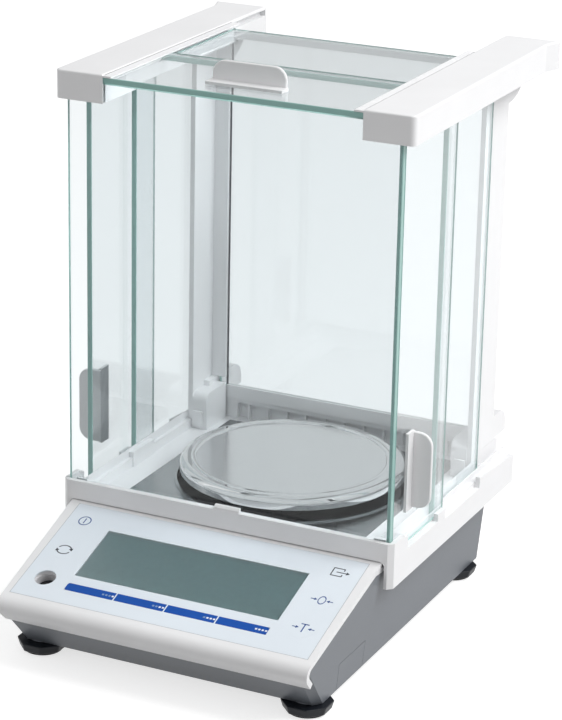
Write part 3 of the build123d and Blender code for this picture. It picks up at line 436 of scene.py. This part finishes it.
class Workshop:
    """Operators that model small pieces the way they are made by hand."""

    @staticmethod
    def clear() -> None:
        """Deselects everything."""
        for piece in bpy.context.selected_objects:
            piece.select_set(False)

    @classmethod
    def plate(cls, width: float, height: float, x: float = 0.0, y: float = 0.0) -> bpy.types.Object:
        """Flat plate in the XY plane.

        Args:
            width: Size along X in millimetres.
            height: Size along Y.
            x: Middle of the plate.
            y: Middle of the plate.

        Returns:
            The plate.
        """
        cls.clear()
        bpy.ops.mesh.primitive_plane_add(size=1.0, location=(x * MM, y * MM, 0))
        plate = bpy.context.object
        plate.scale = (width * MM, height * MM, 1.0)
        bpy.ops.object.transform_apply(location=True, rotation=True, scale=True)
        return plate

    @classmethod
    def ring(
        cls, radius: float, line: float, squeeze: float = 1.0,
        gaps: Sequence[tuple[float, float]] = (),
    ) -> bpy.types.Object:
        """Flat ring, round or oval, with gaps where it is open.

        Args:
            radius: Outer radius in millimetres.
            line: Width of the line.
            squeeze: Width over height.
            gaps: Open stretches, as pairs of angles in degrees.

        Returns:
            The ring.
        """
        cls.clear()
        bpy.ops.mesh.primitive_circle_add(vertices=48, radius=radius * MM, fill_type="NGON")
        circle = bpy.context.object
        bpy.ops.object.mode_set(mode="EDIT")
        bpy.ops.mesh.select_all(action="SELECT")
        bpy.ops.mesh.inset(thickness=line * MM)
        bpy.ops.mesh.delete(type="FACE")
        bpy.ops.object.mode_set(mode="OBJECT")
        if gaps:
            for face in circle.data.polygons:
                angle = math.degrees(math.atan2(face.center.y, face.center.x)) % 360
                face.select = any(low <= angle <= high for low, high in gaps)
            bpy.ops.object.mode_set(mode="EDIT")
            bpy.ops.mesh.select_mode(type="FACE")
            bpy.ops.mesh.delete(type="FACE")
            bpy.ops.object.mode_set(mode="OBJECT")
        circle.scale = (squeeze, 1.0, 1.0)
        bpy.ops.object.transform_apply(location=True, rotation=True, scale=True)
        return circle

    @classmethod
    def disc(cls, radius: float) -> bpy.types.Object:
        """Flat disc in the XY plane.

        Args:
            radius: Radius in millimetres.

        Returns:
            The disc.
        """
        cls.clear()
        bpy.ops.mesh.primitive_circle_add(vertices=64, radius=radius * MM, fill_type="NGON")
        return bpy.context.object

    @classmethod
    def bar(
        cls, low: Sequence[float], high: Sequence[float], name: str, edge: float,
        material: bpy.types.Material,
    ) -> bpy.types.Object:
        """Bar between two corners, with rounded edges, that rides on the base.

        Args:
            low: Lowest corner in metres.
            high: Highest corner in metres.
            name: Name of the bar.
            edge: Radius of its edges in millimetres.
            material: Its finish.

        Returns:
            The bar.
        """
        size = [b - a for a, b in zip(low, high)]
        bar = cls.plate(size[0] / MM, size[1] / MM)
        bar.name = name
        cls.modifier(bar, "SOLIDIFY", thickness=size[2], offset=1.0)
        cls.modifier(bar, "BEVEL", width=edge * MM, segments=2)
        middle = Vector(((low[0] + high[0]) / 2, (low[1] + high[1]) / 2, low[2]))
        return cls.seat(bar, Matrix.Translation(middle), material, "base")

    @classmethod
    def tip(cls, size: float, x: float, y: float, turn: float) -> bpy.types.Object:
        """Flat arrow tip that points along X before it is turned.

        Args:
            size: Radius of the tip in millimetres.
            x: Middle of the tip.
            y: Middle of the tip.
            turn: Angle in degrees.

        Returns:
            The tip.
        """
        cls.clear()
        bpy.ops.mesh.primitive_circle_add(
            vertices=3,
            radius=size * MM,
            fill_type="NGON",
            location=(x * MM, y * MM, 0),
            rotation=(0, 0, math.radians(turn - 90)),
        )
        bpy.ops.object.transform_apply(location=True, rotation=True, scale=True)
        return bpy.context.object

    @classmethod
    def join(cls, pieces: Sequence[bpy.types.Object], name: str) -> bpy.types.Object:
        """Joins pieces into one.

        Args:
            pieces: The pieces.
            name: Name of the result.

        Returns:
            The joined piece.
        """
        cls.clear()
        for piece in pieces:
            piece.select_set(True)
        bpy.context.view_layer.objects.active = pieces[0]
        if len(pieces) > 1:
            bpy.ops.object.join()
        result = bpy.context.object
        result.name = name
        return result

    @staticmethod
    def modifier(piece: bpy.types.Object, kind: str, **settings: object) -> None:
        """Adds a modifier and applies it.

        Args:
            piece: The piece.
            kind: Modifier type.
            **settings: Attributes of the modifier.
        """
        Workshop.clear()
        piece.select_set(True)
        bpy.context.view_layer.objects.active = piece
        modifier = piece.modifiers.new(kind.lower(), kind)
        for key, value in settings.items():
            setattr(modifier, key, value)
        bpy.ops.object.modifier_apply(modifier=modifier.name)

    @classmethod
    def seat(
        cls, piece: bpy.types.Object, place: Matrix, material: bpy.types.Material, body: str,
        thickness: float = 0.0,
    ) -> bpy.types.Object:
        """Puts a piece in its place and lets it ride on a body.

        Args:
            piece: The piece, modelled in the XY plane.
            place: Transform into the row frame.
            material: Its finish.
            body: The body that it rides on.
            thickness: Thickness in millimetres, where it gets one.

        Returns:
            The seated piece.
        """
        if thickness:
            cls.modifier(piece, "SOLIDIFY", thickness=thickness * MM, offset=1.0)
        piece.data.transform(place)
        piece.data.update()
        piece.data.materials.clear()
        piece.data.materials.append(material)
        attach(piece, body)
        return piece


def dress(names: Iterable[str], material: bpy.types.Material) -> None:
    """Gives a finish to CAD nodes.

    Args:
        names: Names of the nodes.
        material: The finish.
    """
    for name in names:
        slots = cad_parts[name].data.materials
        slots.clear()
        slots.append(material)
    LOG.info("%s: %s", material.name, ", ".join(names))


def starting(*prefixes: str) -> list[str]:
    """Names of the CAD nodes that start with one of these words."""
    return sorted(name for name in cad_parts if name.startswith(prefixes))


@dataclass
class Enclosure:
    """Draft shield: base, panes, grips, pillars, beams and rails. Sizes are in millimetres."""

    white: bpy.types.Material
    seal_and_seam_shade: bpy.types.Material
    skin_half: float = 7.6
    skin_plate: float = 0.26
    skin_drop: float = 4.0
    lip_half: float = 73.6
    lip_rise: float = 1.1
    lip_plate: float = 1.2
    lip_drop: float = 6.5
    seal_inner: float = 72.9
    seal_outer: float = 74.2
    seal_plate: float = 0.18
    seam_width: float = 0.4
    seam_plate: float = 0.03
    seam_start: float = 2.2
    seam_end: float = 144.6
    rail_strip: float = 4.8
    rail_step: float = 0.6

    def build(self) -> None:
        """Dresses the nodes and models the trim."""
        dress(starting("shield_base", "front_clip", "pillar_", "rear_beam", "rail_"), self.white)
        grip = Moulding("grip white", (0.84, 0.84, 0.85), gloss=0.3, grain=6e-6)
        dress(starting("grip_"), grip.build())
        dress(["front_glass", "rear_glass"], PaneGlass("glass across Y", Axis.Y).build())
        dress(starting("pane_right", "pane_left"), PaneGlass("glass across X", Axis.X).build())
        dress(starting("pane_top"), PaneGlass("glass across Z", Axis.Z).build())
        self.front_wall()
        self.rear_seat()
        self.seams()

    def front_wall(self) -> None:
        """Closes the front wall before the clip of the front glass."""
        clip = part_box("front_clip")
        middle = (clip[0][0] + clip[1][0]) / 2
        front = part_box("shield_base")[0][1]
        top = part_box("shield_base")[1][2]
        Workshop.bar(
            (middle - self.skin_half * MM, front + 0.01 * MM, top - self.skin_drop * MM),
            (middle + self.skin_half * MM, front + self.skin_plate * MM, top - 0.02 * MM),
            "front_wall_skin", 0.04, self.white,
        )
        LOG.info("skin over the front wall")

    def rear_seat(self) -> None:
        """Models the lip before the foot of the rear glass and the dark seals at its sides."""
        low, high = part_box("rear_glass")
        rise = low[2] + self.lip_rise * MM
        Workshop.bar(
            (-self.lip_half * MM, low[1] - self.lip_plate * MM, low[2] - self.lip_drop * MM),
            (self.lip_half * MM, low[1] - 0.04 * MM, rise),
            "rear_glass_lip", 0.25, self.white,
        )
        for side, name in ((-1, "seal_left"), (1, "seal_right")):
            inner, outer = sorted((side * self.seal_inner * MM, side * self.seal_outer * MM))
            Workshop.bar(
                (inner, low[1] - self.seal_plate * MM, rise),
                (outer, low[1] - 0.02 * MM, high[2] - 6.0 * MM),
                name, 0.03, self.seal_and_seam_shade,
            )
        LOG.info("lip and seals of the rear glass")

    def seams(self) -> None:
        """Draws a thin dark strip along each rail, beside the strip over the top panes, as painted
        shade in the seam groove.
        """
        low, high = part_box("rail_right")
        inner = low[0] + self.rail_strip * MM
        level = high[2] - self.rail_step * MM
        for side, name in ((-1, "seam_shade_left"), (1, "seam_shade_right")):
            near, far = sorted((side * (inner - self.seam_width * MM), side * (inner - 0.01 * MM)))
            # Thin dark strip: painted shade in the groove between the rail top and its inner strip.
            Workshop.bar(
                (near, low[1] + self.seam_start * MM, level),
                (far, low[1] + self.seam_end * MM, level + self.seam_plate * MM),
                name, 0.01, self.seal_and_seam_shade,
            )
        LOG.info("seams of the rails")


@dataclass
class Console:
    """Case, printed panel, display, level and keys. Sizes are in millimetres."""

    white: bpy.types.Material
    panel: Panel
    cover_radius: float = 7.06
    cover_plate: float = 0.012
    print_plate: float = 0.02
    sheet_half: float = 84.25
    sheet_length: float = 76.0
    sheet_line: float = 0.22
    level_place: tuple[float, float] = (-71.9, -60.2)
    level_foot: float = -8.8
    vial_radius: float = 5.55
    vial_height: float = 2.4
    strip_left: float = -58.4
    strip_pitch: float = 28.85
    strip_row: float = -63.1
    square: float = 1.15
    square_pitch: float = 1.85
    square_start: float = 6.8

    def build(self) -> None:
        """Dresses the nodes, prints the signs and models the level."""
        dress(["upper_case"], self.white)
        grey = Moulding("case grey", (0.145, 0.158, 0.178), gloss=0.45, grain=2.4e-5)
        dress(["lower_case", "side_cover", "hook_cover"], grey.build())
        film = Moulding(
            "panel film", (0.78, 0.84, 0.9), shade=0.015, gloss=0.3, grain=5e-6, cells=3500.0
        ).build()
        dress(["panel_sheet"] + [f"key_{name}" for name in sorted(ROUND_KEYS)], film)
        blue = Moulding(
            "function blue", (0.012, 0.085, 0.4), gloss=0.5, grain=5e-6, cells=3500.0, specular=0.15
        )
        dress(starting("key_f"), blue.build())
        window = Plain("display window", (0.9, 0.96, 0.97), 0.3, clear=1.0)
        dress(["display_lens"], window.build())
        cell = Moulding("display cell", (0.18, 0.29, 0.3), gloss=0.5, grain=2e-6, specular=0.2)
        dress(["display_glass"], cell.build())
        cup = Moulding("level grey", (0.66, 0.65, 0.66), gloss=0.5, grain=6e-6)
        dress(["level_housing"], cup.build())
        dress(["power_inlet"], Moulding("black plastic", (0.012, 0.013, 0.015)).build())
        dress(["serial_socket"], Plain("plated steel", (0.45, 0.45, 0.46), 0.3, 1.0).build())
        dress(["key_board", "main_board"], Plain("circuit board", (0.01, 0.09, 0.035), 0.4).build())
        self.key_covers(film)
        self.level()
        self.outline()
        self.signs()
        self.squares()

    def key_covers(self, film: bpy.types.Material) -> None:
        """Lays the film over each round key, so that no gap shows round it.

        Args:
            film: Finish of the film.
        """
        for key, (x, y) in ROUND_KEYS.items():
            cover = Workshop.disc(self.cover_radius)
            cover.name = f"film_{key}"
            place = self.panel.matrix(x, y, 0.005)
            Workshop.seat(cover, place, film, f"key_{key}", self.cover_plate)
            LOG.info("film on key %s", key)

    def level(self) -> None:
        """Models the vial as a near-black disc low in the cup of the round level, painted shade at
        the bottom of the cup, and its centring ring.
        """
        vial = Workshop.disc(self.vial_radius)
        vial.name = "level_bowl"
        Workshop.modifier(vial, "SOLIDIFY", thickness=self.vial_height * MM, offset=1.0)
        Workshop.modifier(vial, "BEVEL", width=0.5 * MM, segments=3)
        # Near-black finish: painted shade at the bottom of the deep level cup.
        painted_cup_shade = Plain("level liquid", (0.02, 0.021, 0.024), 0.1).build()
        Workshop.seat(vial, self.panel.matrix(*self.level_place, self.level_foot), painted_cup_shade, "base")
        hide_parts("level_vial")
        mark = Workshop.ring(2.6, 0.3)
        mark.name = "level_ring"
        paint = Plain("level mark", (0.5, 0.51, 0.5), 0.5).build()
        top = self.level_foot + self.vial_height + 0.01
        Workshop.seat(mark, self.panel.matrix(*self.level_place, top), paint, "base", 0.03)
        LOG.info("round level")

    def outline(self) -> None:
        """Draws a thin grey line round the edge of the sheet."""
        shop = Workshop
        middle = -self.sheet_length / 2
        sides = [
            shop.plate(2 * self.sheet_half, self.sheet_line, 0.0, -self.sheet_length),
            shop.plate(self.sheet_line, self.sheet_length, self.sheet_half, middle),
            shop.plate(self.sheet_line, self.sheet_length, -self.sheet_half, middle),
        ]
        edge = shop.join(sides, "sheet_outline")
        grey = Plain("edge grey", (0.42, 0.44, 0.46), 0.5).build()
        shop.seat(edge, self.panel.matrix(0.0, 0.0, 0.005), grey, "base", 0.01)
        LOG.info("outline of the sheet")

    def signs(self) -> None:
        """Prints one sign on each round key."""
        ink = Plain("blue ink", (0.025, 0.08, 0.28), 0.45).build()
        dark = Plain("dark ink", (0.04, 0.045, 0.06), 0.45).build()
        shop = Workshop
        power = shop.join([shop.ring(3.6, 0.6), shop.plate(0.6, 4.0)], "sign_power")
        cycle = shop.join(
            [
                shop.ring(3.6, 0.62, squeeze=1.18, gaps=[(0, 22), (160, 202), (340, 360)]),
                shop.tip(1.35, 3.75, 0.9, -62),
                shop.tip(1.35, -3.75, -0.9, 118),
            ],
            "sign_cycle",
        )
        output = shop.join(
            [
                shop.plate(0.6, 6.2, -4.0, 0.0),
                shop.plate(6.0, 0.6, -1.0, 2.9),
                shop.plate(6.0, 0.6, -1.0, -2.9),
                shop.plate(0.6, 1.6, 1.9, 2.2),
                shop.plate(0.6, 1.6, 1.9, -2.2),
                shop.plate(6.0, 0.6, 1.2, 0.0),
                shop.tip(1.35, 4.3, 0.0, 0),
            ],
            "sign_output",
        )
        zero = shop.join([shop.ring(3.2, 0.7, squeeze=0.66)] + self.arrows(), "sign_zero")
        letter = [shop.plate(4.4, 0.7, 0, 2.85), shop.plate(0.7, 6.2)]
        tare = shop.join(letter + self.arrows(), "sign_tare")
        prints = {
            "on_off": (power, ink),
            "menu": (cycle, dark),
            "output": (output, dark),
            "zero": (zero, ink),
            "tare": (tare, ink),
        }
        for key, (sign, finish) in prints.items():
            place = self.panel.matrix(*ROUND_KEYS[key], 0.02)
            shop.seat(sign, place, finish, f"key_{key}", self.print_plate)
            LOG.info("sign on key %s", key)

    @staticmethod
    def arrows() -> list[bpy.types.Object]:
        """Models two arrows that point at the middle of a sign.

        Returns:
            The flat pieces of both arrows.
        """
        shop = Workshop
        return [
            shop.plate(2.4, 0.55, -4.9),
            shop.tip(1.15, -3.6, 0.0, 0),
            shop.plate(2.4, 0.55, 4.9),
            shop.tip(1.15, 3.6, 0.0, 180),
        ]

    def squares(self, count: int = 4) -> None:
        """Prints the squares on each function key, one more of them bright each time.

        Args:
            count: Number of keys, and of squares on each.
        """
        bright = Plain("white ink", (0.88, 0.9, 0.93), 0.4).build()
        dim = Plain("pale blue ink", (0.22, 0.33, 0.5), 0.5).build()
        for number in range(1, count + 1):
            x = self.strip_left + number * self.strip_pitch - self.square_start
            place = self.panel.matrix(x, self.strip_row, 0.005)
            split = count - number
            for finish, steps, word in (
                (dim, range(split), "dim"),
                (bright, range(split, count), "bright"),
            ):
                side = self.square
                marks = [Workshop.plate(side, side, self.square_pitch * step) for step in steps]
                if marks:
                    piece = Workshop.join(marks, f"dots_{word}_f{number}")
                    Workshop.seat(piece, place, finish, f"key_f{number}", self.print_plate)
            LOG.info("squares on key f%d", number)


@dataclass
class WeighingStation:
    """Pan, its support, the black dish, the steel floor and the sensor under them."""

    disc: float = 51.5 * MM
    bead: float = 54.5 * MM

    def build(self) -> None:
        """Dresses the nodes."""
        low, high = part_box("weighing_pan")
        centre = ((low[0] + high[0]) / 2, (low[1] + high[1]) / 2)
        dress(["weighing_pan"], PanSteel("pan steel", centre, self.disc, self.bead).build())
        dress(["floor_plate"], Steel("floor steel", (0.38, 0.4, 0.41)).build())
        support = Steel("support metal", (0.5, 0.5, 0.5), 0.3, 0.45)
        dress(["pan_support", "pan_post"], support.build())
        dish = Moulding("dish black", (0.005, 0.006, 0.008), gloss=0.6, specular=0.1)
        dress(["well_dish"], dish.build())
        cast = Steel("cast metal", (0.5, 0.5, 0.51), 0.4, 0.55)
        dress(["sensor_base", "guide_block"], cast.build())
        ground = Steel("ground steel", (0.6, 0.6, 0.6), 0.2, 0.3)
        dress(["fork_element", "case_screws"], ground.build())


@dataclass
class LevellingFeet:
    """Four black dials with their rubber pads. Sizes are in millimetres."""

    sides: int = 8
    top: float = 13.75
    bottom: float = 12.3
    head: float = 4.75
    head_edge: float = 0.7
    stud: float = 3.95
    stud_edge: float = 0.4
    stud_sink: float = 0.3

    def build(self) -> None:
        """Dresses the pads and models the dials."""
        black = Moulding(
            "foot black", (0.006, 0.008, 0.012), gloss=0.42, grain=1e-5, specular=0.3
        ).build()
        dress(starting("foot_pad"), Plain("foot rubber", (0.01, 0.01, 0.012), 0.7).build())
        for node in starting("dial_"):
            self.dial(node, black)
            LOG.info("knob for %s", node)

    def dial(self, node: str, black: bpy.types.Material) -> None:
        """Models one eight-sided dial with its stud.

        Args:
            node: The CAD node that it stands for.
            black: Its finish.
        """
        low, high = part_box(node)
        shop = Workshop
        shop.clear()
        bpy.ops.mesh.primitive_cone_add(
            vertices=self.sides,
            radius1=self.bottom * MM,
            radius2=self.top * MM,
            depth=self.head * MM,
            location=(0, 0, low[2] + self.head * MM / 2),
            rotation=(0, 0, math.pi / self.sides),
        )
        head = bpy.context.object
        bpy.ops.object.transform_apply(location=True, rotation=True, scale=True)
        shop.modifier(head, "BEVEL", width=self.head_edge * MM, segments=3, limit_method="ANGLE")
        shop.clear()
        base = low[2] + (self.head - self.stud_sink) * MM
        bpy.ops.mesh.primitive_cylinder_add(
            vertices=40,
            radius=self.stud * MM,
            depth=high[2] - base,
            location=(0, 0, (base + high[2]) / 2),
        )
        stud = bpy.context.object
        bpy.ops.object.transform_apply(location=True, rotation=True, scale=True)
        shop.modifier(stud, "BEVEL", width=self.stud_edge * MM, segments=2, limit_method="ANGLE")
        piece = shop.join([head, stud], node.replace("dial", "knob"))
        middle = Vector(((low[0] + high[0]) / 2, (low[1] + high[1]) / 2, 0.0))
        shop.seat(piece, Matrix.Translation(middle), black, node)
        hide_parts(node)


@dataclass(frozen=True)
class Lamp:
    """Soft square lamp that faces the middle of the object, in metres and watts."""

    name: str
    place: tuple[float, float, float]
    size: float
    power: float
    target: tuple[float, float, float] = (0.0, 0.0, 0.12)

    def build(self) -> None:
        """Adds the lamp."""
        data = bpy.data.lights.new(self.name, "AREA")
        data.size = self.size
        data.energy = self.power
        lamp = bpy.data.objects.new(self.name, data)
        bpy.context.scene.collection.objects.link(lamp)
        lamp.location = self.place
        aim = Vector(self.target) - Vector(self.place)
        lamp.rotation_euler = aim.to_track_quat("-Z", "Y").to_euler()
        lamp.visible_transmission = False


@dataclass(frozen=True)
class Card:
    """Grey studio card that only polished surfaces see: middle and half reaches in metres."""

    name: str
    middle: tuple[float, float, float]
    half: tuple[float, float, float]
    grey: float
    tilt: float = 90.0

    def build(self) -> None:
        """Adds the card, which stands at its tilt to the floor in degrees."""
        Workshop.clear()
        along = math.atan2(self.half[1], self.half[0])
        bpy.ops.mesh.primitive_plane_add(
            size=2.0, location=self.middle, rotation=(math.radians(self.tilt), 0, along)
        )
        card = bpy.context.object
        card.name = self.name
        card.scale = (math.hypot(self.half[0], self.half[1]), self.half[2], 1.0)
        bpy.ops.object.transform_apply(location=True, rotation=True, scale=True)
        tree = Tree(f"{self.name} card")
        tree.set(Base_Color=(0, 0, 0, 1), Specular_IOR_Level=0.0, Roughness=1.0)
        tree.set(Emission_Color=(0.97, 0.99, 1.0, 1.0), Emission_Strength=self.grey)
        card.data.materials.append(tree.material)
        card.visible_camera = False
        card.visible_diffuse = False
        card.visible_transmission = False
        card.visible_shadow = False


@dataclass
class Studio:
    """Camera, lamps, cards, world and floor."""

    eye: tuple[float, float, float] = (0.5829, -1.22135, 0.6143)
    azimuth: float = 26.319
    elevation: float = 19.413
    roll: float = -0.835
    lens: float = 136.17
    film: float = 36.0
    frame_height: float = 720.0
    shift: float = 46.1
    sky: float = 0.5
    floor_size: float = 12.0
    floor_drop: float = 0.0002
    floor_glow: float = 0.7
    lamps: tuple[Lamp, ...] = (
        Lamp("key", (1.5, 0.35, 1.8), 1.2, 42.0),
        Lamp("fill", (-1.5, -1.0, 1.4), 1.6, 2.5),
    )
    cards: tuple[Card, ...] = (
        Card("flag back", (-0.2, 1.7, 0.75), (1.15, 0.0, 0.75), 0.44),
        Card("flag left", (-1.35, 1.4, 0.75), (0.55, 0.5, 0.75), 0.1),
        Card("flag front", (0.2, -1.5, 1.9), (1.2, 0.0, 0.4), 0.06),
        Card("flag low", (0.0, -0.95, 0.004), (1.3, 0.0, 0.8), 0.08, 0.0),
    )

    def build(self) -> None:
        """Sets up the studio."""
        self.camera()
        self.world()
        self.floor()
        for item in (*self.lamps, *self.cards):
            item.build()
            LOG.info("studio %s", item.name)

    def camera(self) -> None:
        """Puts the camera where the photograph was taken from."""
        azimuth, elevation, roll = map(math.radians, (self.azimuth, self.elevation, self.roll))
        forward = Vector((
            -math.sin(azimuth) * math.cos(elevation),
            math.cos(azimuth) * math.cos(elevation),
            -math.sin(elevation),
        ))
        level = Vector((math.cos(azimuth), math.sin(azimuth), 0.0))
        drop = forward.cross(level)
        right = math.cos(roll) * level + math.sin(roll) * drop
        down = -math.sin(roll) * level + math.cos(roll) * drop
        data = bpy.data.cameras.new("camera")
        data.sensor_fit = "VERTICAL"
        data.sensor_height = self.film
        data.lens = self.lens
        data.shift_x = self.shift / self.frame_height
        data.clip_end = 50.0
        camera = bpy.data.objects.new("camera", data)
        bpy.context.scene.collection.objects.link(camera)
        turn = Matrix((right, -down, -forward)).transposed().to_4x4()
        camera.matrix_world = Matrix.Translation(Vector(self.eye)) @ turn
        bpy.context.scene.camera = camera

    def world(self) -> None:
        """White surroundings, seen as white and lighting the object softly."""
        world = bpy.data.worlds.new("studio")
        bpy.context.scene.world = world
        world.use_nodes = True
        nodes, links = world.node_tree.nodes, world.node_tree.links
        background = nodes["Background"]
        background.inputs["Color"].default_value = (1.0, 1.0, 1.0, 1.0)
        path = nodes.new("ShaderNodeLightPath")
        seen = nodes.new("ShaderNodeMath")
        seen.operation = "MAXIMUM"
        links.new(path.outputs["Is Camera Ray"], seen.inputs[0])
        links.new(path.outputs["Is Transmission Ray"], seen.inputs[1])
        both = nodes.new("ShaderNodeMath")
        both.operation = "MAXIMUM"
        links.new(seen.outputs["Value"], both.inputs[0])
        links.new(path.outputs["Is Glossy Ray"], both.inputs[1])
        strength = nodes.new("ShaderNodeMapRange")
        strength.inputs["To Min"].default_value = self.sky
        strength.inputs["To Max"].default_value = 1.0
        links.new(both.outputs["Value"], strength.inputs["Value"])
        links.new(strength.outputs["Result"], background.inputs["Strength"])

    def floor(self) -> None:
        """Pale paper under the object, white to the eye, with a soft shadow."""
        Workshop.clear()
        bpy.ops.mesh.primitive_plane_add(size=self.floor_size, location=(0, 0, -self.floor_drop))
        ground = bpy.context.object
        ground.name = "floor"
        tree = Tree("floor paper")
        tree.set(Roughness=0.9, Emission_Color=(1.0, 1.0, 1.0, 1.0))
        paper = tree.ramp(tree.noise(3.0), [(0.0, (0.5, 0.5, 0.5)), (1.0, (0.53, 0.53, 0.53))])
        tree.link(paper, tree.shader.inputs["Base Color"])
        path = tree.add("ShaderNodeLightPath")
        seen = tree.add("ShaderNodeMath", operation="MAXIMUM")
        tree.link(path.outputs["Is Camera Ray"], seen.inputs[0])
        tree.link(path.outputs["Is Transmission Ray"], seen.inputs[1])
        both = tree.add("ShaderNodeMath", operation="MAXIMUM")
        tree.link(seen.outputs["Value"], both.inputs[0])
        tree.link(path.outputs["Is Glossy Ray"], both.inputs[1])
        glow = tree.span(both.outputs["Value"], 0.0, self.floor_glow)
        tree.link(glow, tree.shader.inputs["Emission Strength"])
        ground.data.materials.append(tree.material)


def main(bounces: int = 32) -> None:
    """Builds the whole scene.

    Args:
        bounces: Light bounces, enough for a ray through all the panes.
    """
    logging.basicConfig(level=logging.INFO, format="%(name)s %(message)s")
    scene = bpy.context.scene
    scene.view_settings.view_transform = "Standard"
    scene.cycles.max_bounces = bounces
    scene.cycles.transmission_bounces = bounces
    scene.cycles.transparent_max_bounces = bounces
    white = Moulding("white moulding", (0.86, 0.86, 0.87)).build()
    # Dark grey of the rear glass seals, also used as painted shade in the rail seams.
    seal_and_seam_shade = Plain("seal grey", (0.1, 0.1, 0.11), 0.6).build()
    Enclosure(white, seal_and_seam_shade).build()
    Console(white, Panel.read()).build()
    WeighingStation().build()
    LevellingFeet().build()
    Studio().build()


if __name__ == "__main__":
    main()
